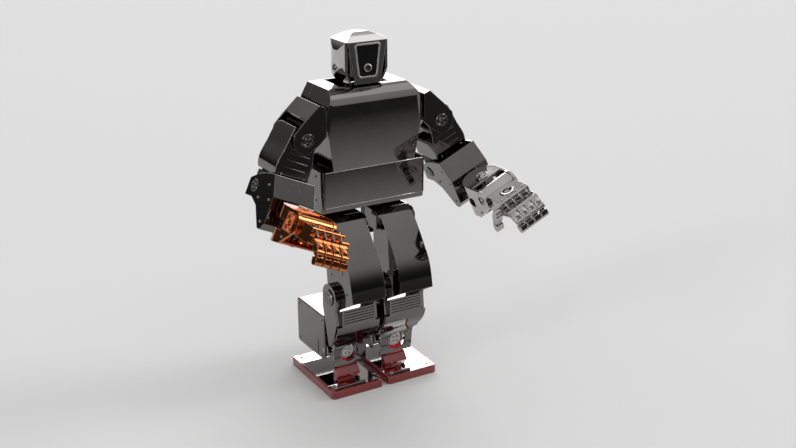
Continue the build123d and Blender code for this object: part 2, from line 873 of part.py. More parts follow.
def make_segment(hand, u0, root, angle, length, pin_reach, tip):
    """One finger segment: barrel at its root, body, and ears or a rounded tip at its end.

    pin_reach lists how far its pin stands out on the -u and +u side.
    """
    half = finger_wide / 2
    thick = finger_thick / 2
    root_half = half - finger_ear - gap if tip else half
    low, high = pin_reach
    end = along(root, angle, length)
    with BuildPart() as segment:
        disc(hand.side(u0 - root_half), root, thick - 0.5, 2 * root_half)
        prism(
            hand.side(u0 - root_half),
            bar_outline(root, angle, 0, length - thick - 0.2, thick - 1.0),
            2 * root_half,
        )
        if tip:
            prism(
                hand.side(u0 - half),
                bar_outline(root, angle, thick + 0.6, length - thick, thick),
                finger_wide,
            )
            disc(hand.side(u0 - half), along(root, angle, length - thick), thick, finger_wide)
        else:
            prism(
                hand.side(u0 - half),
                bar_outline(root, angle, thick + 0.4, length - thick - 0.4, thick),
                finger_wide,
            )
            for ear_u in (u0 - half, u0 + half - finger_ear):
                prism(
                    hand.side(ear_u),
                    bar_outline(root, angle, length - thick - 0.5, length, thick - 0.5),
                    finger_ear,
                )
                disc(hand.side(ear_u), end, thick - 0.5, finger_ear)
            disc(hand.side(u0 - half - 1), end, finger_pin_r + fit, finger_wide + 2, mode=Mode.SUBTRACT)
        if low:
            disc(hand.side(u0 - root_half), root, finger_pin_r, -low)
        if high:
            disc(hand.side(u0 + root_half), root, finger_pin_r, high)
    return segment.part


finger_names = ("index", "middle", "ring", "little")
outer_lug = 2 * finger_pitch + (finger_pitch - finger_wide - 2 * gap) / 2
thumb_u = -outer_lug - gap - finger_wide / 2


def make_hand(hand, curl, tip_curl):
    """All pieces of one wrist and hand, by name."""
    pieces = {"wrist_housing": make_wrist_housing(hand), "palm": make_palm(hand)}
    knuckle = (palm_end, knuckle_w)
    lug_reach = gap + 0.4
    ear_reach = gap + finger_ear - 0.2
    for k in range(4):
        u0 = (k - 1.5) * finger_pitch
        pieces[f"{finger_names[k]}_lower"] = make_segment(
            hand, u0, knuckle, curl, finger_length, (lug_reach, lug_reach), tip=False
        )
        pieces[f"{finger_names[k]}_tip"] = make_segment(
            hand,
            u0,
            along(knuckle, curl, finger_length),
            tip_curl,
            finger_length,
            (ear_reach, ear_reach),
            tip=True,
        )
    root = (thumb_v, thumb_w)
    pieces["thumb_lower"] = make_segment(
        hand, thumb_u, root, thumb_curl, thumb_length, (0, gap + 2.6), tip=False
    )
    pieces["thumb_tip"] = make_segment(
        hand,
        thumb_u,
        along(root, thumb_curl, thumb_length),
        thumb_tip_curl,
        thumb_length,
        (ear_reach, ear_reach),
        tip=True,
    )
    return pieces


thumb_curl = 118.0
thumb_tip_curl = 105.0
left_curl = (38.0, 76.0)     # lower and tip segments, below the forward direction
right_curl = (38.0, 76.0)

for piece_name, piece in make_hand(arm, *left_curl).items():
    save(piece, f"left_{piece_name}")

for piece_name, piece in make_hand(arm.yawed(yaw_v, right_yaw), *right_curl).items():
    save(mirror(piece, about=Plane.YZ), f"right_{piece_name}")

# ================= legs =================

thigh_in = leg_x - thigh_half
thigh_out = leg_x + thigh_half
thigh_profile = [
    (hip_y - 1.0, hip_z + hip_r),
    (-38.0, 189.0),
    (-57.0, 165.0),
    (-66.0, 152.0),
    (-71.0, 138.0),
    (-74.5, 121.0),
    (-36.0, 99.1),
]
thigh_back = -12.0


def thigh_outline(x0, depth):
    """Side shape of the thigh (Y, Z), with round ends about the hip and knee axes."""
    with BuildSketch(Plane.YZ.offset(x0)) as side_view:
        with BuildLine():
            Spline(*thigh_profile[:6])
            Line(thigh_profile[5], thigh_profile[6])
            knee_arc = ThreePointArc(
                thigh_profile[6],
                (knee_y + knee_r * sin_deg(20), knee_z - knee_r * cos_deg(20)),
                (knee_y + knee_r * cos_deg(25), knee_z + knee_r * sin_deg(25)),
            )
            Polyline(knee_arc @ 1, (thigh_back, 150.0), (thigh_back, hip_z - hip_r * 0.8))
            ThreePointArc(
                (thigh_back, hip_z - hip_r * 0.8),
                (hip_y + hip_r * cos_deg(25), hip_z + hip_r * sin_deg(25)),
                thigh_profile[0],
            )
        make_face()
    extrude(side_view.sketch, amount=depth)


with BuildPart() as thigh_shell:
    thigh_outline(thigh_in, 2 * thigh_half)
    # inside, open behind and below
    with BuildSketch(Plane.YZ.offset(thigh_in + wall)) as inner_view:
        with BuildLine():
            inner_front = [(y + wall * 1.1, z - wall * 0.4) for y, z in thigh_profile[:6]]
            Spline(*inner_front)
            Polyline(
                inner_front[5],
                (inner_front[5][0], knee_z - 30),
                (20.0, knee_z - 30),
                (20.0, hip_z + hip_r + 5),
                (hip_y + 12, hip_z + hip_r - wall),
                inner_front[0],
            )
        make_face()
    extrude(inner_view.sketch, amount=2 * (thigh_half - wall), mode=Mode.SUBTRACT)
    for axis_point in ((hip_y, hip_z), (knee_y, knee_z)):
        disc(Plane.YZ.offset(0), axis_point, pin_r + fit, 80, mode=Mode.SUBTRACT)
save_pair(thigh_shell.part, "thigh_shell")

servo_half = thigh_half - wall - gap
with BuildPart() as thigh_servos:
    servo_plane = Plane.YZ.offset(leg_x - servo_half)
    block(servo_plane, (-22.5, -11.5), (154.0, 199.0), 2 * servo_half)
    block(servo_plane, (-52.0, -18.0), (132.0, 156.0), 2 * servo_half)
    knee_servo = [(-62.0, 118.0), (-50.0, 111.0), (-41.0, 106.0), (-24.0, 103.0), (-24.0, 134.0), (-62.0, 134.0)]
    prism(servo_plane, knee_servo, 2 * servo_half)
    for axis_point in ((hip_y, hip_z), (knee_y, knee_z)):
        disc(Plane.YZ.offset(0), axis_point, pin_r + fit, 80, mode=Mode.SUBTRACT)
save_pair(thigh_servos.part, "thigh_servos")

with BuildPart() as hip_bracket:
    arm_out = thigh_out + side_gap
    arm_in = thigh_in - side_gap
    block(
        Plane.XZ.offset(0),
        (arm_in - hip_arm, arm_out + hip_arm),
        (hip_z - 22, hip_z + 11),
        -hip_bracket_back,
    )
    for x0 in (arm_in - hip_arm, arm_out):
        block(Plane.YZ.offset(x0), (hip_y, hip_bracket_back), (hip_z - 11, hip_z + 11), hip_arm)
        disc(Plane.YZ.offset(x0), (hip_y, hip_z), 11.0, hip_arm)
    for x0, reach in ((arm_in, 5.0), (arm_out, -5.0)):
        disc(Plane.YZ.offset(x0), (hip_y, hip_z), pin_r, reach)
    disc(Plane.XZ.offset(-hip_bracket_back), (leg_x, hip_z), 9.0, -(hip_roll_y - hip_bracket_back - gap))
    disc(Plane.XZ.offset(-hip_bracket_back), (leg_x, hip_z), pin_r, -8.0)
save_pair(hip_bracket.part, "hip_bracket")

bar_out = thigh_out + side_gap
bar_in = thigh_in - side_gap
# front surface of the shin's T plate (Y, Z), top to bottom
plate_curve = [(-50.0, 84.0), (-41.5, 66.0), (-29.8, 50.0), (-27.7, 37.0), (-25.0, 23.0)]
plate_top_wide = (4.0, 58.0)
plate_low_wide = (9.5, 52.5)
plate_shoulder_z = 60.0


def shin_bar(x0, depth):
    """Tapering bar beside the knee (Y, Z)."""
    with BuildSketch(Plane.YZ.offset(x0)) as side_view:
        with BuildLine():
            Polyline(
                (knee_y - 16.0, knee_z),
                (-44.0, 100.0),
                (-46.0, 84.0),
                (-39.4, 66.0),
                (-30.2, 54.0),
                (-26.5, 54.0),
                (-21.0, 75.0),
                (-13.5, 100.0),
                (knee_y + 16.0, knee_z),
            )
            ThreePointArc((knee_y + 16.0, knee_z), (knee_y, knee_z + 16.0), (knee_y - 16.0, knee_z))
        make_face()
    extrude(side_view.sketch, amount=depth)


with BuildPart() as shin_frame:
    shin_bar(bar_out, shin_bar_outer)
    shin_bar(bar_in - shin_bar_inner, shin_bar_inner)
    # curved T plate across the front
    with BuildSketch(Plane.YZ.offset(plate_top_wide[0])) as plate_side:
        with BuildLine():
            skin = Spline(*plate_curve)
            back_skin = Spline(*[(y + shin_plate, z) for y, z in reversed(plate_curve)])
            Line(skin @ 1, back_skin @ 0)
            Line(back_skin @ 1, skin @ 0)
        make_face()
    extrude(plate_side.sketch, amount=plate_top_wide[1] - plate_top_wide[0])
    for x_cut in ((0.0, plate_low_wide[0]), (plate_low_wide[1], 60.0)):
        block(Plane.XZ.offset(15), x_cut, (20.0, 53.9), 25, mode=Mode.SUBTRACT)
    for x_low, x_high in ((plate_top_wide[0], plate_low_wide[0]), (plate_top_wide[1], plate_low_wide[1])):
        corner = [(x_low, 62.0), (x_high, 53.0), (x_low, 53.0)]
        prism(Plane.XZ.offset(31), corner, 30, mode=Mode.SUBTRACT)
    disc(Plane.XZ.offset(15), (ankle_x, ankle_z), ankle_hole_r, 25, mode=Mode.SUBTRACT)
    # knee block with ridges, and the ledge below it
    knee_block = [(-50.0, 84.0), (-50.0, 104.5), (-41.0, 99.6), (-38.5, 97.0), (-22.0, 96.6), (-24.0, 82.5)]
    inner_width = bar_out - bar_in
    prism(Plane.YZ.offset(bar_in - 0.1), knee_block, inner_width + 0.2)
    for k in range(5):
        groove_z = 87.5 + 3.4 * k
        block(Plane.YZ.offset(bar_in + 2), (-51.0, -49.0), (groove_z, groove_z + 1.2), inner_width - 4, mode=Mode.SUBTRACT)
    for x0, reach in ((bar_in, 5.0), (bar_out, -5.0)):
        disc(Plane.YZ.offset(x0), (knee_y, knee_z), pin_r, reach)
    # web that carries the calf housing
    web = [(-29.0, 56.0), (-24.0, 83.0), (calf_front - gap / 3, 83.0), (calf_front - gap / 3, 56.0)]
    prism(Plane.YZ.offset(bar_in + 4), web, inner_width - 8)
save_pair(shin_frame.part, "shin_frame")

calf_out = calf_x + calf_half
calf_in = calf_x - calf_half
cheek_wall = 2.0
room_back = 16.0
slot_z = (28.0, 48.0)

with BuildPart() as calf_housing:
    block(Plane.YZ.offset(calf_in), (calf_front, calf_back), (calf_bottom, calf_top), 2 * calf_half)
    fillet(calf_housing.edges().filter_by(Axis.X), radius=4)
    fillet(calf_housing.edges().filter_by(Axis.Z), radius=1.5)
    # room for the ankle block, open in front and below
    room = [
        (calf_front - 1, calf_bottom - 1),
        (calf_front - 1, 55.0),
        (room_back, 55.0),
        (room_back, calf_bottom - 1),
    ]
    prism(Plane.YZ.offset(calf_in + cheek_wall), room, 2 * (calf_half - cheek_wall), mode=Mode.SUBTRACT)
    disc(Plane.YZ.offset(0), (ankle_y, ankle_z), small_pin_r + fit, 80, mode=Mode.SUBTRACT)
    block(
        Plane.YZ.offset(calf_out - 1.0),
        (calf_front + 14, calf_front + 16.5),
        slot_z,
        1.0,
        mode=Mode.SUBTRACT,
    )
save_pair(calf_housing.part, "calf_housing")

foot_x = (foot_inner + foot_outer) / 2
ankle_r = 8.6
upright_front = -19.0
upright_back = -15.6
ankle_half = calf_half - cheek_wall - gap

with BuildPart() as ankle_block:
    disc(Plane.YZ.offset(calf_x - ankle_half), (ankle_y, ankle_z), ankle_r, 2 * ankle_half)
    nose_z = (ankle_z - ankle_r, ankle_z + ankle_r)
    nose_front = upright_back + gap
    block(Plane.YZ.offset(ankle_x - 15), (nose_front, ankle_y), nose_z, 30)
    for x0, reach in ((calf_x - ankle_half, -1), (calf_x + ankle_half, 1)):
        disc(Plane.YZ.offset(x0), (ankle_y, ankle_z), small_pin_r, reach * (cheek_wall + gap - 0.3))
    disc(Plane.XZ.offset(-nose_front), (ankle_x, ankle_z), small_pin_r + 1, nose_front - upright_front + gap)
    disc(Plane.XZ.offset(-upright_front + gap), (ankle_x, ankle_z), 9.0, 2.5)
save_pair(ankle_block.part, "ankle_block")

with BuildPart() as foot_base:
    block(Plane.XY, (foot_inner, foot_outer), (foot_front, foot_back), foot_thick)
    fillet(foot_base.edges().filter_by(Axis.Z), radius=foot_corner_r)
    fillet(foot_base.faces().sort_by(Axis.Z)[-1].outer_wire().edges(), radius=1.2)
    for y in (-sole_screw_y, sole_screw_y):
        disc(Plane.XY, (foot_x, y), sole_screw_r, foot_thick, mode=Mode.SUBTRACT)
    block(
        Plane.XY.offset(foot_thick - foot_plate_thick),
        (foot_inner + foot_rim, foot_outer - foot_rim),
        (foot_front + foot_rim, foot_back - foot_rim),
        foot_plate_thick + 1,
        mode=Mode.SUBTRACT,
    )
    # sloped block and the upright that carries the ankle's roll pin
    slope = [
        (-26.0, foot_thick - foot_plate_thick),
        (-25.6, foot_thick + 0.4),
        (upright_front, 18.0),
        (upright_back, 18.0),
        (upright_back, foot_thick - foot_plate_thick),
    ]
    prism(Plane.YZ.offset(17.5), slope, 30)
    block(
        Plane.XZ.offset(-upright_back),
        (ankle_x - 11, ankle_x + 11),
        (foot_thick - 1, ankle_z),
        upright_back - upright_front,
    )
    disc(Plane.XZ.offset(-upright_back), (ankle_x, ankle_z), 11.0, upright_back - upright_front)
    disc(
        Plane.XZ.offset(-upright_back + 1 - 2),
        (ankle_x, ankle_z),
        small_pin_r + 1 + fit,
        upright_back - upright_front + 2,
        mode=Mode.SUBTRACT,
    )
save_pair(foot_base.part, "foot_base")

with BuildPart() as foot_plate:
    block(
        Plane.XY.offset(foot_thick - foot_plate_thick),
        (foot_inner + foot_rim + 0.1, foot_outer - foot_rim - 0.1),
        (foot_front + foot_rim + 0.1, foot_back - foot_rim - 0.1),
        foot_plate_thick - 0.2,
    )
    fillet(foot_plate.edges().filter_by(Axis.Z), radius=2.5)
    block(
        Plane.XY.offset(0),
        (17.5 - 0.1, 47.5 + 0.1),
        (-26.1, upright_back + 0.1),
        20,
        mode=Mode.SUBTRACT,
    )
save_pair(foot_plate.part, "foot_plate")
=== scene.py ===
# %% [markdown]
# # A mirror-bright humanoid robot
# The robot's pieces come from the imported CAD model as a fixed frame. This script gives them their finish,
# adds the small hardware that a maker fits last, and sets up a pale studio. Everything is in metres,
# with the ground at z = 0, the face towards -Y and the robot's left towards +X.

import json
from math import cos, pi, radians, sin

import bpy
from mathutils import Matrix, Vector


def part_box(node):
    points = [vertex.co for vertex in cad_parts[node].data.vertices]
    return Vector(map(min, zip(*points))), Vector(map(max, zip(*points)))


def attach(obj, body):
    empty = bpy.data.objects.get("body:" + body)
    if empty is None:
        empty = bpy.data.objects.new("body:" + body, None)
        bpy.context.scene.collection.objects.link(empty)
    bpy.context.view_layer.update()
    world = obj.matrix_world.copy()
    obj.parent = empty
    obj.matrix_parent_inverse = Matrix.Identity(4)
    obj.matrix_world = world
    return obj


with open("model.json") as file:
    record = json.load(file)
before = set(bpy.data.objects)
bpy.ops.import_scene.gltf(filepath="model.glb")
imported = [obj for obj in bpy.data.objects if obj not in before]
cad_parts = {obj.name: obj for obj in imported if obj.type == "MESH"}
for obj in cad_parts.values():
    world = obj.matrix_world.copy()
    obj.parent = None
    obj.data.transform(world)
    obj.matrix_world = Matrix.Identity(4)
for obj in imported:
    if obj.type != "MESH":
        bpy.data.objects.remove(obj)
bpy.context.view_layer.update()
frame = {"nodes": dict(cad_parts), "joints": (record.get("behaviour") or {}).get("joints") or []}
nodes = frame["nodes"]
joints = {joint["name"]: joint for joint in frame["joints"]}

# %% [markdown]
# ## Shader maths
# A finish is built from patterns that are added, scaled and mixed. Writing `1 - mask * 0.4` is easier to
# read than three Math nodes, so one small class wraps a socket and turns the usual operators into nodes.

# %% A socket that does sums
class Wave:
    def __init__(self, tree, socket):
        self.tree = tree
        self.socket = socket

    def maths(self, operation, first, second):
        node = self.tree.nodes.new("ShaderNodeMath")
        node.operation = operation
        for place, value in enumerate((first, second)):
            if isinstance(value, Wave):
                self.tree.links.new(value.socket, node.inputs[place])
            else:
                node.inputs[place].default_value = value
        return Wave(self.tree, node.outputs[0])

    def __add__(self, other):
        return self.maths("ADD", self, other)

    def __radd__(self, other):
        return self.maths("ADD", other, self)

    def __sub__(self, other):
        return self.maths("SUBTRACT", self, other)

    def __rsub__(self, other):
        return self.maths("SUBTRACT", other, self)

    def __mul__(self, other):
        return self.maths("MULTIPLY", self, other)

    def __rmul__(self, other):
        return self.maths("MULTIPLY", other, self)

    def __gt__(self, other):
        return self.maths("GREATER_THAN", self, other)

    def clip(self):
        return self.maths("MINIMUM", self.maths("MAXIMUM", self, 0.0), 1.0)


# %% A material and its nodes
class Nodes:
    """A node tree: node() adds any node, with its settings first and its sockets after."""

    def __init__(self, tree):
        self.tree = tree

    def node(self, kind, settings=None, **sockets):
        node = self.tree.nodes.new(kind)
        for name, value in (settings or {}).items():
            if name == "stops":
                ramp = node.color_ramp
                for index, (position, level) in enumerate(value):
                    stop = ramp.elements[index] if index < 2 else ramp.elements.new(position)
                    stop.position = position
                    stop.color = (level, level, level, 1)
            else:
                setattr(node, name, value)
        self.fill(node, sockets)
        return node

    def fill(self, node, sockets):
        for name, value in sockets.items():
            socket = node.inputs[name.replace("_", " ")]
            if isinstance(value, Wave):
                value = value.socket
            if isinstance(value, bpy.types.NodeSocket):
                self.tree.links.new(value, socket)
            else:
                socket.default_value = value


class Finish(Nodes):
    """One material with its Principled shader."""

    def __init__(self, name):
        self.material = bpy.data.materials.new(name)
        self.material.use_nodes = True
        super().__init__(self.material.node_tree)
        self.shader = self.tree.nodes["Principled BSDF"]
        self.place = self.node("ShaderNodeTexCoord").outputs["Object"]

    def set(self, **sockets):
        self.fill(self.shader, sockets)

    def noise(self, scale, detail=3.0):
        node = self.node("ShaderNodeTexNoise", Vector=self.place, Scale=scale, Detail=detail)
        return Wave(self.tree, node.outputs["Fac"])

    def stretched(self, scale, stretch):
        """Noise drawn out along one direction, as brushing and fine scratches are."""
        mapping = self.node("ShaderNodeMapping", Vector=self.place, Scale=stretch)
        node = self.node("ShaderNodeTexNoise", Vector=mapping.outputs[0], Scale=scale, Detail=2.0)
        return Wave(self.tree, node.outputs["Fac"])

    def ramp(self, wave, *stops):
        node = self.node("ShaderNodeValToRGB", {"stops": stops}, Fac=wave)
        return Wave(self.tree, node.outputs["Color"])

    def mix(self, factor, first, second):
        node = self.node("ShaderNodeMix", {"data_type": "RGBA"})
        for place, value in ((0, factor), (6, first), (7, second)):
            if isinstance(value, Wave):
                value = value.socket
            if isinstance(value, bpy.types.NodeSocket):
                self.tree.links.new(value, node.inputs[place])
            else:
                node.inputs[place].default_value = value
        return node.outputs[2]

    def bump(self, height, distance, edge=0.0):
        """Bump from a height; an edge radius rounds the look of sharp edges as well."""
        node = self.node("ShaderNodeBump", Height=height, Distance=distance)
        if edge:
            rounded = self.node("ShaderNodeBevel", {"samples": 4}, Radius=edge)
            self.tree.links.new(rounded.outputs[0], node.inputs["Normal"])
        return node.outputs[0]


def tone(red, green, blue):
    return (red, green, blue, 1.0)


# %% [markdown]
# ## Mirror metals
# Vacuum-plated covers are nearly perfect mirrors of a dark, warm grey. What makes them look real is what
# breaks the mirror a little: a faint orange-peel wave, finger smudges that raise the roughness in patches,
# and hairline scratches. One function makes all the plated tones, so they share the same wear.

# %% Plated metal
def plated(name, deep, pale, roughness, smudge=0.05, wave_height=0.00001):
    finish = Finish(name)
    cloud = finish.noise(38.0, 4.0)
    patches = finish.ramp(cloud, (0.42, 0.0), (0.72, 1.0))
    hairs = finish.stretched(900.0, (1.0, 0.06, 0.35))
    scratches = finish.ramp(hairs, (0.66, 0.0), (0.74, 1.0))
    specks = finish.ramp(finish.noise(2600.0, 1.0), (0.70, 0.0), (0.78, 1.0))
    colour = finish.mix((patches * 0.6 + specks * 0.2).clip(), deep, pale)
    rough = (roughness + patches * smudge + scratches * 0.08 + specks * 0.05).clip()
    peel = finish.noise(160.0, 2.0) * 0.8 - scratches * 0.25
    finish.set(
        Base_Color=colour,
        Metallic=1.0,
        Roughness=rough,
        Normal=finish.bump(peel, wave_height, edge=0.0007),
    )
    return finish.material


dark_plate = plated("dark_plate", tone(0.165, 0.157, 0.153), tone(0.185, 0.176, 0.171), 0.03)
head_plate = plated("head_plate", tone(0.50, 0.485, 0.48), tone(0.54, 0.52, 0.515), 0.03)
bright_plate = plated("bright_plate", tone(0.42, 0.40, 0.39), tone(0.50, 0.48, 0.47), 0.05)
silver_trim = plated("silver_trim", tone(0.62, 0.60, 0.59), tone(0.72, 0.70, 0.69), 0.10)
copper_plate = plated("copper_plate", tone(0.50, 0.16, 0.055), tone(0.78, 0.30, 0.11), 0.07)
satin_trim = plated("satin_trim", tone(0.66, 0.64, 0.63), tone(0.72, 0.70, 0.69), 0.30)
steel_screw = plated("steel_screw", tone(0.33, 0.32, 0.31), tone(0.44, 0.43, 0.42), 0.16)
sole_mirror = plated("sole_mirror", tone(0.80, 0.78, 0.78), tone(0.86, 0.84, 0.84), 0.02, smudge=0.05)
print("plated finishes:", 8)

# %% [markdown]
# ## Plastics, glass and the red soles
# Servo cases are moulded black nylon with a fine grain. The visor is black gloss. The sole rims are
# red acrylic: clear enough to glow where light passes the edge, so they take some transmission.

# %% Moulded black
def moulded(name, deep, pale, roughness, grain):
    finish = Finish(name)
    pits = finish.noise(1500.0, 2.0)
    wear = finish.ramp(finish.noise(60.0, 5.0), (0.5, 0.0), (0.8, 1.0))
    finish.set(
        Base_Color=finish.mix(wear, deep, pale),
        Roughness=(roughness + wear * 0.15 + pits * 0.08).clip(),
        Normal=finish.bump(pits, grain),
    )
    return finish.material


servo_black = moulded("servo_black", tone(0.012, 0.012, 0.012), tone(0.030, 0.029, 0.028), 0.38, 0.00004)
visor_black = moulded("visor_black", tone(0.006, 0.006, 0.006), tone(0.012, 0.012, 0.012), 0.06, 0.000004)
print("moulded finishes:", servo_black.name, visor_black.name)


# %% Red acrylic and lens glass
def acrylic(name, deep, pale, clearness):
    finish = Finish(name)
    streaks = finish.stretched(30.0, (1.0, 1.0, 6.0))
    dust = finish.ramp(finish.noise(700.0, 3.0), (0.6, 0.0), (0.8, 1.0))
    finish.set(
        Base_Color=finish.mix(streaks, deep, pale),
        Roughness=(0.05 + dust * 0.12).clip(),
        Transmission_Weight=clearness,
        IOR=1.49,
        Coat_Weight=1.0,
        Normal=finish.bump(finish.noise(90.0, 2.0), 0.00002, edge=0.0008),
    )
    return finish.material


red_acrylic = acrylic("red_acrylic", tone(0.16, 0.003, 0.004), tone(0.46, 0.018, 0.016), 0.45)
lens_glass = acrylic("lens_glass", tone(0.01, 0.01, 0.014), tone(0.03, 0.03, 0.05), 0.2)
# The amber window pane gives out light in its own amber tone. This is a painted glow, as the pane is no lamp.
amber_painted_glow = Finish("amber_painted_glow")
cell_node = amber_painted_glow.node("ShaderNodeTexVoronoi", Vector=amber_painted_glow.place, Scale=260.0)
cells = Wave(amber_painted_glow.tree, cell_node.outputs[0])
amber_tone = amber_painted_glow.mix(cells.clip(), tone(0.90, 0.24, 0.06), tone(0.30, 0.04, 0.012))
amber_painted_glow.set(
    Base_Color=amber_tone,
    Metallic=0.6,
    Roughness=(0.16 + amber_painted_glow.noise(90.0) * 0.2).clip(),
    Emission_Color=amber_tone,
    Emission_Strength=0.45,
    Normal=amber_painted_glow.bump(cells, 0.0006),
)
print("clear finishes:", red_acrylic.name, lens_glass.name)

# %% [markdown]
# ## Dress the CAD pieces
# Each CAD node keeps its shape and takes a finish. The right hand and wrist are copper, the left hand and
# wrist are a brighter plate than the body, and the servos between the covers stay black.

# %% Choose a finish for every node
HAND_PIECES = ("wrist_housing", "palm", "index", "middle", "ring", "little", "thumb")


def finish_for(node):
    if node.endswith("foot_base"):
        return red_acrylic
    if node.endswith("foot_plate"):
        return sole_mirror
    if node == "camera_lens":
        return lens_glass
    if node == "head_shell":
        return head_plate
    if node == "face_plate":
        return visor_black
    if "servo" in node or node == "battery_pack":
        return servo_black
    if any(word in node for word in HAND_PIECES):
        return copper_plate if node.startswith("right") else bright_plate
    if node.endswith("ankle_block"):
        return bright_plate
    return dark_plate


for name, piece in nodes.items():
    piece.data.materials.clear()
    piece.data.materials.append(finish_for(name))
print("dressed nodes:", len(nodes))

# %% [markdown]
# ## Hardware
# Small parts are modelled once with the ordinary edit-mode tools and then copied, each copy with its own
# mesh. A helper first clears the selection, because an operator acts on everything selected.

# %% Modelling helpers
def clear_selection():
    if bpy.context.object and bpy.context.object.mode != "OBJECT":
        bpy.ops.object.mode_set(mode="OBJECT")
    bpy.ops.object.select_all(action="DESELECT")


def pick_faces(wanted):
    """Selects the faces of the edited mesh whose centre and normal pass a test."""
    bpy.ops.object.mode_set(mode="OBJECT")
    mesh = bpy.context.object.data
    for group in (mesh.vertices, mesh.edges, mesh.polygons):
        group.foreach_set("select", [False] * len(group))
    for face in mesh.polygons:
        face.select = wanted(face.center, face.normal)
    bpy.ops.object.mode_set(mode="EDIT")
    bpy.ops.mesh.select_mode(type="FACE")


def finish_piece(piece, smooth=35.0):
    """Leaves edit mode, bakes the place into the mesh and smooths the round faces."""
    if piece.mode != "OBJECT":
        bpy.ops.object.mode_set(mode="OBJECT")
    bpy.ops.object.transform_apply(location=True, rotation=True, scale=True)
    bpy.ops.object.shade_smooth_by_angle(angle=radians(smooth))
    return piece


def turned(outline, segments=32):
    """A solid of revolution about Z from (radius, height) points: an edge is spun round."""
    clear_selection()
    bpy.ops.mesh.primitive_plane_add(size=1)
    piece = bpy.context.object
    bpy.ops.object.mode_set(mode="EDIT")
    bpy.ops.mesh.select_mode(type="VERT")
    bpy.ops.mesh.delete(type="ONLY_FACE")
    bpy.ops.mesh.select_all(action="SELECT")
    bpy.ops.mesh.merge(type="CENTER")
    first = outline[0]
    bpy.ops.transform.translate(value=(first[0], 0, first[1]))
    for before, after in zip(outline, outline[1:]):
        step = (after[0] - before[0], 0, after[1] - before[1])
        bpy.ops.mesh.extrude_region_move(TRANSFORM_OT_translate={"value": step})
    bpy.ops.mesh.select_all(action="SELECT")
    bpy.ops.mesh.spin(steps=segments, angle=2 * pi, center=(0, 0, 0), axis=(0, 0, 1))
    bpy.ops.mesh.select_all(action="SELECT")
    bpy.ops.mesh.remove_doubles(threshold=1e-6)
    bpy.ops.mesh.normals_make_consistent(inside=False)
    return finish_piece(piece)


def rounded_slab(size, bevel, height_z=0.0):
    """A block with its upright corners and top edge bevelled, standing on z = height_z."""
    clear_selection()
    centre = (0, 0, height_z + size[2] / 2)
    bpy.ops.mesh.primitive_cube_add(size=1, location=centre, scale=size)
    piece = bpy.context.object
    bpy.ops.object.transform_apply(location=True, rotation=True, scale=True)
    bpy.ops.object.mode_set(mode="EDIT")
    bpy.ops.mesh.select_all(action="SELECT")
    bpy.ops.mesh.bevel(offset=bevel, segments=3, affect="EDGES")
    return finish_piece(piece)


def copy_to(source, name, place, body, material):
    """Copies a modelled part to a place, with its own mesh, and lets it ride a body."""
    clear_selection()
    copy = bpy.data.objects.new(name, source.data.copy())
    bpy.context.scene.collection.objects.link(copy)
    copy.matrix_world = place
    copy.select_set(True)
    bpy.context.view_layer.objects.active = copy
    bpy.ops.object.transform_apply(location=True, rotation=True, scale=True)
    copy.data.materials.clear()
    copy.data.materials.append(material)
    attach(copy, body)
    return copy


def facing(point, outward, up=(0, 0, 1)):
    """A place at a point whose local Z looks outward."""
    z = Vector(outward).normalized()
    hint = Vector(up)
    if abs(z.dot(hint.normalized())) > 0.95:
        hint = Vector((0, 1, 0))
    x = hint.cross(z).normalized()
    y = z.cross(x)
    turn = Matrix((x, y, z)).transposed().to_4x4()
    return Matrix.Translation(Vector(point)) @ turn


def discard(*pieces):
    for piece in pieces:
        bpy.data.objects.remove(piece)


MM = 0.001

# %% [markdown]
# ### Screws and horns
# Every joint of such a kit turns on a round horn held by small socket screws. The screw starts as a
# cylinder: its top face is inset and pushed down for the socket, and its rim is bevelled so it catches light.

# %% Socket screw
def pick_rim(height, radius):
    """Selects the edges of the edited mesh on an upper rim."""
    bpy.ops.object.mode_set(mode="OBJECT")
    mesh = bpy.context.object.data
    for group in (mesh.vertices, mesh.edges, mesh.polygons):
        group.foreach_set("select", [False] * len(group))
    for edge in mesh.edges:
        ends = [mesh.vertices[index].co for index in edge.vertices]
        edge.select = all(abs(end.z - height) < 1e-6 and end.xy.length > radius * 0.99 for end in ends)
    bpy.ops.object.mode_set(mode="EDIT")
    bpy.ops.mesh.select_mode(type="EDGE")


def make_screw(radius, head):
    clear_selection()
    bpy.ops.mesh.primitive_cylinder_add(vertices=24, radius=radius, depth=head, location=(0, 0, head / 2))
    screw = bpy.context.object
    bpy.ops.object.transform_apply(location=True)
    bpy.ops.object.mode_set(mode="EDIT")
    pick_faces(lambda centre, normal: normal.z > 0.9)
    bpy.ops.mesh.inset(thickness=radius * 0.45)
    bpy.ops.mesh.extrude_region_move(TRANSFORM_OT_translate={"value": (0, 0, -head * 0.6)})
    pick_rim(head, radius)
    bpy.ops.mesh.bevel(offset=radius * 0.16, segments=2, affect="EDGES")
    return finish_piece(screw)


screw_model = make_screw(1.3 * MM, 1.1 * MM)
print("screw faces:", len(screw_model.data.polygons))

# %% Horn disc
horn_model = turned(
    [
        (0.0, 0.0),
        (7.6 * MM, 0.0),
        (7.6 * MM, 0.9 * MM),
        (7.1 * MM, 1.3 * MM),
        (5.6 * MM, 1.3 * MM),
        (5.3 * MM, 0.9 * MM),
        (2.9 * MM, 0.9 * MM),
        (2.6 * MM, 1.4 * MM),
        (0.9 * MM, 1.4 * MM),
        (0.7 * MM, 0.6 * MM),
        (0.0, 0.6 * MM),
    ],
    segments=40,
)
print("horn faces:", len(horn_model.data.polygons))


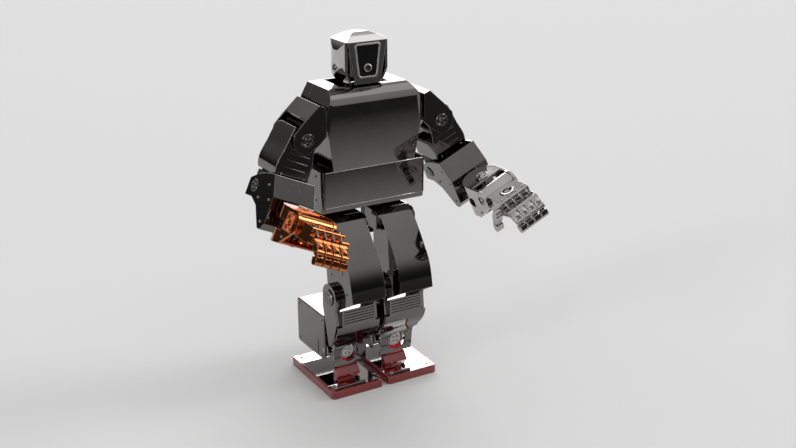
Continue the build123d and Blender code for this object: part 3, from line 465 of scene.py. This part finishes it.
def fit_horn(name, point, outward, body, scale=1.0, finish=None):
    """A horn on a joint's end with its four screws."""
    place = facing(point, outward)
    grow = Matrix.Scale(scale, 4)
    copy_to(horn_model, f"{name}_horn", place @ grow, body, finish or dark_plate)
    for turn in range(4):
        angle = turn * pi / 2 + pi / 4
        ring = 4.1 * MM * scale
        offset = Matrix.Translation((ring * cos(angle), ring * sin(angle), 0.9 * MM * scale))
        small = Matrix.Scale(0.62 * scale, 4)
        copy_to(screw_model, f"{name}_screw_{turn + 1}", place @ offset @ small, body, steel_screw)


# %% Horns on the joints
SIDES = {"left": 1, "right": -1}
HORN_LIFT = 0.06 * MM
for side, sign in SIDES.items():
    yoke_low, yoke_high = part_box(f"{side}_shoulder_yoke")
    roll = joints[f"{side}_shoulder_roll"]["pos_m"]
    front_y = yoke_low.y - HORN_LIFT
    back_y = yoke_high.y + HORN_LIFT
    fit_horn(f"{side}_shoulder_front", (roll[0], front_y, roll[2]), (0, -1, 0), f"{side}_shoulder")
    fit_horn(f"{side}_shoulder_back", (roll[0], back_y, roll[2]), (0, 1, 0), f"{side}_shoulder")
    elbow_out = Vector(joints[f"{side}_elbow"]["axis"]).normalized()
    for end, reach in (("a", 25.5 * MM), ("b", -25.5 * MM)):
        point = Vector(joints[f"{side}_elbow"]["pos_m"]) + elbow_out * reach
        fit_horn(f"{side}_elbow_{end}", point, elbow_out * reach, f"{side}_forearm", 0.9)
    bracket_low, bracket_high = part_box(f"{side}_hip_bracket")
    hip = joints[f"{side}_hip_pitch"]["pos_m"]
    hip_outer = bracket_high.x if sign > 0 else bracket_low.x
    fit_horn(f"{side}_hip_outer", (hip_outer, hip[1], hip[2]), (sign, 0, 0), f"{side}_hip", 1.1)
    shin_low, shin_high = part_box(f"{side}_shin_frame")
    knee = joints[f"{side}_knee"]["pos_m"]
    knee_outer = shin_high.x if sign > 0 else shin_low.x
    fit_horn(f"{side}_knee_outer", (knee_outer, knee[1], knee[2]), (sign, 0, 0), f"{side}_shin", 1.3)
    disc_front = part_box(f"{side}_ankle_block")[0].y
    ankle = joints[f"{side}_ankle_roll"]["pos_m"]
    ankle_place = (ankle[0], disc_front, ankle[2])
    fit_horn(f"{side}_ankle_front", ankle_place, (0, -1, 0), f"{side}_ankle", finish=bright_plate)
print("horns fitted on", len(SIDES), "sides")

# %% [markdown]
# ### The head
# A raised frame runs round the black visor, and the camera sits in a small bezel. The frame is a plate whose
# upper corners are spread, then inset, opened and given a wall, as a pressed trim ring would be.

# %% Visor frame
face_low, face_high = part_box("face_plate")
lens_low, lens_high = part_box("camera_lens")
FRAME_WIDE = 1.9 * MM
FRAME_DEEP = 1.5 * MM
CHIN_NARROWING = 4.5 * MM


def make_visor_frame():
    clear_selection()
    centre = (face_low + face_high) / 2
    bpy.ops.mesh.primitive_plane_add(size=1, rotation=(pi / 2, 0, 0), location=(0, face_low.y, centre.z))
    visor = bpy.context.object
    visor.scale = (face_high.x - face_low.x, face_high.z - face_low.z, 1)
    bpy.ops.object.transform_apply(location=True, rotation=True, scale=True)
    for corner in visor.data.vertices:
        if corner.co.z < centre.z:
            corner.co.x -= CHIN_NARROWING * (1 if corner.co.x > 0 else -1)
    bpy.ops.object.mode_set(mode="EDIT")
    bpy.ops.mesh.select_all(action="SELECT")
    bpy.ops.mesh.bevel(offset=4.0 * MM, segments=6, affect="VERTICES")
    bpy.ops.mesh.select_all(action="SELECT")
    bpy.ops.mesh.inset(thickness=FRAME_WIDE)
    bpy.ops.mesh.delete(type="FACE")
    bpy.ops.object.mode_set(mode="OBJECT")
    wall = visor.modifiers.new("wall", "SOLIDIFY")
    wall.thickness = FRAME_DEEP
    wall.offset = 0
    edge = visor.modifiers.new("edge", "BEVEL")
    edge.width = 0.5 * MM
    edge.segments = 3
    bpy.ops.object.modifier_apply(modifier="wall")
    bpy.ops.object.modifier_apply(modifier="edge")
    return finish_piece(visor)


visor_frame = make_visor_frame()
visor_frame.name = "visor_frame"
visor_frame.data.materials.append(satin_trim)
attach(visor_frame, "head")
bezel_r = (lens_high.x - lens_low.x) / 2
bezel_model = turned(
    [
        (bezel_r * 0.62, 0.2 * MM),
        (bezel_r * 0.62, 0.7 * MM),
        (bezel_r * 0.95, 1.2 * MM),
        (bezel_r * 1.22, 0.8 * MM),
        (bezel_r * 1.30, 0.0),
        (bezel_r * 0.62, 0.2 * MM),
    ],
    segments=40,
)
bezel_place = facing((0, face_low.y, (lens_low.z + lens_high.z) / 2), (0, -1, 0))
copy_to(bezel_model, "lens_bezel", bezel_place, "head", satin_trim)
print("visor frame faces:", len(visor_frame.data.polygons))

# %% Ear caps
ear_model = turned(
    [
        (0.0, 1.6 * MM),
        (2.4 * MM, 1.5 * MM),
        (3.0 * MM, 0.9 * MM),
        (6.0 * MM, 0.7 * MM),
        (6.8 * MM, 0.0),
        (0.0, 0.0),
    ],
    segments=40,
)
tilt = joints["head_tilt"]["pos_m"]
EAR_X = 26.6 * MM
EAR_RISE = 0.35
for side, sign in SIDES.items():
    ear_place = facing((sign * EAR_X, tilt[1], tilt[2]), (sign, 0, EAR_RISE))
    copy_to(ear_model, f"{side}_ear_cap", ear_place, "head", silver_trim)
print("ear caps:", 2)

# %% [markdown]
# ### Waist beads and screws
# Two narrow beads run along the waist housing's front at its lower and upper edges, as on folded sheet
# covers; their bright silver is a painted highlight. Screws hold the housing's sides.

# %% Trim beads
def bead(name, start, end, radius, body, material):
    """A thin round bead between two points with rounded ends."""
    start, end = Vector(start), Vector(end)
    length = (end - start).length
    clear_selection()
    bpy.ops.mesh.primitive_cylinder_add(vertices=12, radius=radius, depth=length, location=(0, 0, length / 2))
    stick = bpy.context.object
    bpy.ops.object.transform_apply(location=True)
    bpy.ops.object.mode_set(mode="EDIT")
    for top in (0, length):
        pick_rim(top, radius)
        bpy.ops.mesh.bevel(offset=radius * 0.45, segments=2, affect="EDGES")
    finish_piece(stick)
    piece = copy_to(stick, name, facing(start, end - start), body, material)
    discard(stick)
    return piece


waist_low, waist_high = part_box("waist_housing")
bead_r = 0.45 * MM
front_y = waist_low.y - bead_r * 0.4
inset_x = 4 * MM
# The beads are raised, but their bright silver is a painted highlight: the gleam a rounded cover edge would
# catch.
bead(
    "waist_lower_highlight_bead",
    (waist_low.x + inset_x, front_y, waist_low.z + bead_r),
    (waist_high.x - inset_x, front_y, waist_low.z + bead_r),
    bead_r,
    "torso",
    silver_trim,
)
bead(
    "waist_upper_highlight_bead",
    (waist_low.x + inset_x, front_y, waist_high.z - bead_r),
    (waist_high.x - inset_x, front_y, waist_high.z - bead_r),
    bead_r,
    "torso",
    silver_trim,
)
SCREW_INSET = 7 * MM
for side, sign in SIDES.items():
    for row, height_z in (("low", waist_low.z + SCREW_INSET), ("high", waist_high.z - SCREW_INSET)):
        side_x = sign * waist_high.x
        for number, depth_y in enumerate((-18 * MM, 18 * MM)):
            place = facing((side_x, depth_y, height_z), (sign, 0, 0))
            copy_to(screw_model, f"{side}_waist_screw_{row}_{number + 1}", place, "torso", steel_screw)
print("waist hardware done")

# %% [markdown]
# ### Arms and hands
# Parts of an arm are easier to place in the arm's own directions: across, forward and along it. They are
# read from the elbow and wrist axes, so the hardware follows the CAD arm wherever it stands.

# %% Directions of a limb
# Places on the CAD arm in millimetres, ahead of and down from the shoulder's roll axis.
ELBOW_PIN = (10.0, 65.0)
WRIST_PIN = (105.0, 77.0)
YAW_PIN_AHEAD = 82.0
WRIST_TOP = 64.5
WRIST_HALF = 23.0
LINK_HALF = 25.5
ARM_FRONT = 34.0
PALM_TOP = 70.0


class Limb:
    """across points outward, ahead forward and down along the limb; at() takes millimetres."""

    def __init__(self, across, ahead, down, known, known_at):
        self.across = across
        self.ahead = ahead
        self.down = down
        self.origin = Vector(known_at) - self.sum(known)

    def sum(self, amounts):
        return (self.across * amounts[0] + self.ahead * amounts[1] + self.down * amounts[2]) * MM

    def at(self, across, ahead, down):
        return self.origin + self.sum((across, ahead, down))

    def place(self, across, ahead, down, outward):
        return facing(self.at(across, ahead, down), outward, up=-self.down)


def arm_limb(side):
    sign = SIDES[side]
    across = Vector(joints[f"{side}_elbow"]["axis"]) * -sign
    ahead = Vector((0, -1, 0))
    down = across.cross(ahead) * sign
    return Limb(across, ahead, down, (0, *ELBOW_PIN), joints[f"{side}_elbow"]["pos_m"])


def hand_limb(side):
    sign = SIDES[side]
    across = Vector(joints[f"{side}_wrist_pitch"]["axis"]) * sign
    down = Vector(joints[f"{side}_forearm_yaw"]["axis"]) * sign
    ahead = down.cross(across) * sign
    return Limb(across, ahead, down, (0, *WRIST_PIN), joints[f"{side}_wrist_pitch"]["pos_m"])


arms = {side: arm_limb(side) for side in SIDES}
hands = {side: hand_limb(side) for side in SIDES}
for side in SIDES:
    print(side, "shoulder", [round(v, 4) for v in arms[side].at(0, 0, 0)])


# %% Window in the wrist housing
def framed_window(wide, tall, rim, depth):
    """A raised rim with a sunken floor: a slab's top is inset and pushed in."""
    clear_selection()
    bpy.ops.mesh.primitive_cube_add(size=1, location=(0, 0, depth / 2), scale=(wide, tall, depth))
    window = bpy.context.object
    bpy.ops.object.transform_apply(location=True, rotation=True, scale=True)
    bpy.ops.object.mode_set(mode="EDIT")
    pick_faces(lambda centre, normal: normal.z > 0.9)
    bpy.ops.mesh.inset(thickness=rim)
    bpy.ops.mesh.extrude_region_move(TRANSFORM_OT_translate={"value": (0, 0, -depth * 0.75)})
    bpy.ops.object.mode_set(mode="OBJECT")
    edge = window.modifiers.new("edge", "BEVEL")
    edge.width = rim * 0.22
    edge.segments = 2
    bpy.ops.object.modifier_apply(modifier="edge")
    return finish_piece(window)


WINDOW_WIDE = 18 * MM
WINDOW_TALL = 20 * MM
WINDOW_RIM = 1.6 * MM
WINDOW_DEEP = 1.2 * MM
WINDOW_SEAT = (102, 78.5)
PANE_LIFT = 0.25
GEAR_LIFT = 0.6
window_model = framed_window(WINDOW_WIDE, WINDOW_TALL, WINDOW_RIM, WINDOW_DEEP)
pane_size = (WINDOW_WIDE - 2.2 * WINDOW_RIM, WINDOW_TALL - 2.2 * WINDOW_RIM, 0.4 * MM)
pane_model = rounded_slab(pane_size, 0.1 * MM)
gear_model = turned(
    [
        (0.0, 1.0 * MM),
        (1.2 * MM, 1.0 * MM),
        (1.5 * MM, 0.6 * MM),
        (3.6 * MM, 0.6 * MM),
        (4.0 * MM, 0.0),
        (0.0, 0.0),
    ],
    segments=24,
)
GEARS = ((98.5, 73.5, 0.75), (103.0, 79.0, 0.95), (98.5, 84.0, 0.70), (107.0, 84.5, 0.55))
for side in SIDES:
    limb = hands[side]
    warm = side == "right"
    trim = copper_plate if warm else bright_plate
    pane_finish = amber_painted_glow.material if warm else visor_black
    body = f"{side}_wrist"
    rim_place = limb.place(WRIST_HALF, *WINDOW_SEAT, limb.across)
    copy_to(window_model, f"{side}_window_rim", rim_place, body, trim)
    pane_place = limb.place(WRIST_HALF + PANE_LIFT, *WINDOW_SEAT, limb.across)
    copy_to(pane_model, f"{side}_window_pane", pane_place, body, pane_finish)
    for number, (ahead, down, size) in enumerate(GEARS):
        seat = limb.place(WRIST_HALF + GEAR_LIFT, ahead, down, limb.across)
        place = seat @ Matrix.Scale(size, 4)
        copy_to(gear_model, f"{side}_window_gear_{number + 1}", place, body, trim)
print("windows:", len(SIDES))

# %% Elbow and upper arm hardware
LINK_SCREWS = ((40, 56), (50, 70), (48, 95), (26, 74))
RIB_HALF = 13
RIB_PROUD = 0.1
for side in SIDES:
    limb = arms[side]
    for end, across in (("out", LINK_HALF), ("in", -LINK_HALF)):
        for number, (ahead, down) in enumerate(LINK_SCREWS):
            name = f"{side}_link_screw_{end}_{number + 1}"
            place = limb.place(across, ahead, down, limb.across * across)
            copy_to(screw_model, name, place, f"{side}_forearm", steel_screw)
    for number, down in enumerate((18, 26, 34)):
        start = limb.at(-RIB_HALF, ARM_FRONT + RIB_PROUD, down)
        end = limb.at(RIB_HALF, ARM_FRONT + RIB_PROUD, down)
        bead(f"{side}_arm_rib_{number + 1}", start, end, 0.4 * MM, f"{side}_upper_arm", dark_plate)
    for number, across in enumerate((-14, 14)):
        place = limb.place(across, ARM_FRONT, 42.0, limb.ahead)
        copy_to(screw_model, f"{side}_arm_screw_{number + 1}", place, f"{side}_upper_arm", steel_screw)
print("arm hardware done")

# %% [markdown]
# The hand is the busiest place: caps over the wrist and knuckle pins, a ring in the back of the palm, and
# thin rods that pull each finger. The caps are one turned shape at several sizes.

# %% Hand hardware
cap_model = turned(
    [(0.0, 1.0 * MM), (1.6 * MM, 0.9 * MM), (2.3 * MM, 0.5 * MM), (2.5 * MM, 0.0), (0.0, 0.0)],
    segments=24,
)
ring_model = turned(
    [
        (5.6 * MM, 0.0),
        (5.6 * MM, 0.9 * MM),
        (6.4 * MM, 1.4 * MM),
        (7.6 * MM, 1.4 * MM),
        (8.4 * MM, 0.8 * MM),
        (8.4 * MM, 0.0),
        (5.6 * MM, 0.0),
    ],
    segments=40,
)
FINGERS = {"index": -14.7, "middle": -4.9, "ring": 4.9, "little": 14.7}
LOWER_LENGTH = 13.0
LOWER_HALF = 3.9
RING_PROUD = 0.1
for side in SIDES:
    limb = hands[side]
    plate = copper_plate if side == "right" else bright_plate
    body = f"{side}_hand"
    up = -limb.down
    ring_place = limb.place(0, 128.0, PALM_TOP + RING_PROUD, up)
    copy_to(ring_model, f"{side}_palm_ring", ring_place, body, plate)
    cap_place = limb.place(-WRIST_HALF, *WRIST_PIN, -limb.across) @ Matrix.Scale(2.2, 4)
    copy_to(cap_model, f"{side}_wrist_cap", cap_place, f"{side}_wrist", plate)
    for end, across in (("out", WRIST_HALF), ("in", -WRIST_HALF)):
        spot = limb.place(across, 96.0, 96.0, limb.across * across)
        copy_to(screw_model, f"{side}_wrist_screw_{end}", spot, f"{side}_wrist", steel_screw)
    yaw_place = limb.at(0, YAW_PIN_AHEAD, WRIST_TOP)
    fit_horn(f"{side}_yaw", yaw_place, up, f"{side}_wrist", finish=plate)
    for finger, across in FINGERS.items():
        start = limb.at(across, 137.0, 69.4)
        bead(f"{side}_{finger}_rod", start, limb.at(across, 149.0, 77.6), 0.7 * MM, body, steel_screw)
        screw_place = limb.place(across, 138.0, PALM_TOP, up)
        copy_to(screw_model, f"{side}_{finger}_rod_screw", screw_place, body, steel_screw)
        pin = Vector(joints[f"{side}_fingertip_curl"]["pos_m"])
        knuckle = Vector(joints[f"{side}_finger_curl"]["pos_m"])
        lower_way = (pin - knuckle).normalized()
        back_way = (up - lower_way * up.dot(lower_way)).normalized()
        middle = knuckle + limb.across * across * MM + lower_way * LOWER_LENGTH * 0.45 * MM
        pad_seat = facing(middle + back_way * LOWER_HALF * MM, back_way, up=lower_way)
        pad_place = pad_seat @ Matrix.Scale(1.15, 4)
        copy_to(cap_model, f"{side}_{finger}_knuckle_cap", pad_place, f"{side}_fingers", plate)
print("hand hardware done")

# %% [markdown]
# ### Legs and soles
# The ankle servos sit in a smooth box, which takes four screws on its outer side as each thigh shell does,
# and each sole is a mirror plate held in a red rim by four screws.

# %% Leg hardware
def row_between(low, high, count):
    step = (high - low) / (count - 1)
    return [low + step * index for index in range(count)]


EDGE_INSET = 6 * MM
THIGH_SCREWS = ((-0.018, 0.165), (-0.050, 0.150), (-0.060, 0.128), (-0.024, 0.140))
for side, sign in SIDES.items():
    calf_low, calf_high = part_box(f"{side}_calf_housing")
    outer_x = calf_high.x if sign > 0 else calf_low.x
    corners_y = (calf_low.y + EDGE_INSET, calf_high.y - EDGE_INSET)
    corners_z = (calf_low.z + EDGE_INSET, calf_high.z - EDGE_INSET)
    count = 0
    for corner_y in corners_y:
        for corner_z in corners_z:
            count += 1
            place = facing((outer_x, corner_y, corner_z), (sign, 0, 0))
            copy_to(screw_model, f"{side}_calf_screw_{count}", place, f"{side}_shin", steel_screw)
    thigh_low, thigh_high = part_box(f"{side}_thigh_shell")
    thigh_x = thigh_high.x if sign > 0 else thigh_low.x
    for number, (depth_y, height_z) in enumerate(THIGH_SCREWS):
        place = facing((thigh_x, depth_y, height_z), (sign, 0, 0))
        copy_to(screw_model, f"{side}_thigh_screw_{number + 1}", place, f"{side}_thigh", steel_screw)
    sole_low, sole_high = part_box(f"{side}_foot_plate")
    count = 0
    for depth_y in (sole_low.y + EDGE_INSET, sole_high.y - EDGE_INSET):
        for across_x in (sole_low.x + EDGE_INSET, sole_high.x - EDGE_INSET):
            count += 1
            place = facing((across_x, depth_y, sole_high.z), (0, 0, 1))
            copy_to(screw_model, f"{side}_sole_screw_{count}", place, f"{side}_foot", steel_screw)
print("leg hardware done")

# %% Back of the torso
back_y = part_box("back_cover")[1].y
VENT_HALF = 22 * MM
for number, height_z in enumerate(row_between(0.292, 0.318, 7)):
    bead(
        f"back_vent_{number + 1}",
        (-VENT_HALF, back_y, height_z),
        (VENT_HALF, back_y, height_z),
        0.8 * MM,
        "torso",
        servo_black,
    )
PANEL_X = 0.030
PANEL_Z = 0.243
socket_model = framed_window(16 * MM, 10 * MM, 1.4 * MM, 1.6 * MM)
socket_place, switch_place = (
    facing((panel_x, waist_high.y, PANEL_Z), (0, 1, 0)) for panel_x in (PANEL_X, -PANEL_X)
)
copy_to(socket_model, "charge_socket", socket_place, "torso", servo_black)
switch_model = framed_window(12 * MM, 10 * MM, 1.2 * MM, 1.8 * MM)
copy_to(switch_model, "power_switch", switch_place, "torso", servo_black)
rocker_model = rounded_slab((8.6 * MM, 6.8 * MM, 2.0 * MM), 0.8 * MM)
copy_to(rocker_model, "switch_rocker", switch_place, "torso", visor_black)
discard(
    screw_model,
    horn_model,
    bezel_model,
    ear_model,
    window_model,
    pane_model,
    gear_model,
    cap_model,
    ring_model,
    socket_model,
    switch_model,
    rocker_model,
)
print("back hardware done")

# %% [markdown]
# ## Studio
# Polished metal shows its surroundings, so the studio matters as much as the finish. The floor is pale to the
# camera, but its colour is painted dark well in front of the robot for every other ray. That painted shade
# gives upright covers a gradient from black to grey in their reflections. The world holds a soft light
# overhead, a bright wall behind and narrow lights at the sides.

# %% Pale floor with painted shade ahead
clear_selection()
bpy.ops.mesh.primitive_plane_add(size=30, location=(0, 0, 0))
floor = bpy.context.object
floor.name = "floor"
floor_finish = Finish("pale_floor")
across_floor = floor_finish.node("ShaderNodeSeparateXYZ", Vector=floor_finish.place)
forward = Wave(floor_finish.tree, across_floor.outputs["Y"]) * -0.5
seen = Wave(floor_finish.tree, floor_finish.node("ShaderNodeLightPath").outputs["Is Camera Ray"])
# Painted shade: for all but camera rays, the floor's colour fades from pale to near black ahead of the robot.
painted_shade_ahead = floor_finish.ramp(forward.clip(), (0.27, 0.0), (0.41, 1.0)) * (1 - seen)
floor_finish.set(
    Base_Color=floor_finish.mix(painted_shade_ahead, tone(0.60, 0.60, 0.60), tone(0.012, 0.012, 0.012)),
    Roughness=0.9,
)
floor.data.materials.append(floor_finish.material)

# %% World with soft lights
world = bpy.data.worlds.new("studio")
bpy.context.scene.world = world
world.use_nodes = True
studio = Nodes(world.node_tree)
studio.tree.nodes.clear()
direction = studio.node("ShaderNodeTexCoord").outputs["Generated"]
parts = studio.node("ShaderNodeSeparateXYZ", Vector=direction)
east, north, height = (Wave(studio.tree, parts.outputs[axis]) for axis in "XYZ")


def soft_step(wave, low, high):
    node = studio.node("ShaderNodeMapRange", {"interpolation_type": "SMOOTHSTEP"}, Value=wave)
    node.inputs["From Min"].default_value = low
    node.inputs["From Max"].default_value = high
    return Wave(studio.tree, node.outputs[0])


def lamp(centre, wide, tall, strength):
    """A soft rectangle of light around a direction, wide across and tall up and down."""
    look = Vector(centre).normalized()
    side = Vector((0, 0, 1)).cross(look).normalized()
    rise = look.cross(side)
    across = east * side.x + north * side.y + height * side.z
    upward = east * rise.x + north * rise.y + height * rise.z
    ahead = east * look.x + north * look.y + height * look.z
    box = (1 - soft_step(across.maths("ABSOLUTE", across, 0.0), wide * 0.8, wide)) * (
        1 - soft_step(upward.maths("ABSOLUTE", upward, 0.0), tall * 0.8, tall)
    )
    return box * (ahead > 0.0) * strength


air = soft_step(height, 0.0, 0.9) * 0.75 + 0.03
light = (
    air
    + lamp((0.45, 0.75, 0.36), 0.55, 0.22, 5.0)
    + lamp((-1.0, -0.15, 0.30), 0.10, 0.35, 7.0)
    + lamp((1.0, -0.35, 0.35), 0.16, 0.45, 7.0)
    + lamp((0.48, 0.10, 0.88), 0.34, 0.24, 0.7)
    + lamp((-0.62, -0.78, 0.42), 0.05, 0.30, 3.5)
)
background = studio.node("ShaderNodeBackground", Color=tone(1, 1, 1), Strength=light)
white_air = studio.node("ShaderNodeBackground", Color=tone(0.93, 0.93, 0.93), Strength=0.92)
paths = studio.node("ShaderNodeLightPath")
shown = studio.node("ShaderNodeMixShader", Fac=paths.outputs["Is Camera Ray"])
studio.tree.links.new(background.outputs[0], shown.inputs[1])
studio.tree.links.new(white_air.outputs[0], shown.inputs[2])
output = studio.node("ShaderNodeOutputWorld")
studio.tree.links.new(shown.outputs[0], output.inputs["Surface"])
print("world nodes:", len(studio.tree.nodes))

# %% Camera
CAMERA_PLACE = (-0.60254, -1.09512, 0.63793)
CAMERA_AIM = (0.4812, 0.8073, -0.3418)
camera_data = bpy.data.cameras.new("camera")
camera_data.lens = 51.9
camera_data.sensor_width = 36.0
camera = bpy.data.objects.new("camera", camera_data)
bpy.context.scene.collection.objects.link(camera)
camera.location = CAMERA_PLACE
camera.rotation_euler = Vector(CAMERA_AIM).to_track_quat("-Z", "Y").to_euler()
bpy.context.scene.camera = camera
bpy.context.scene.view_settings.view_transform = "Standard"
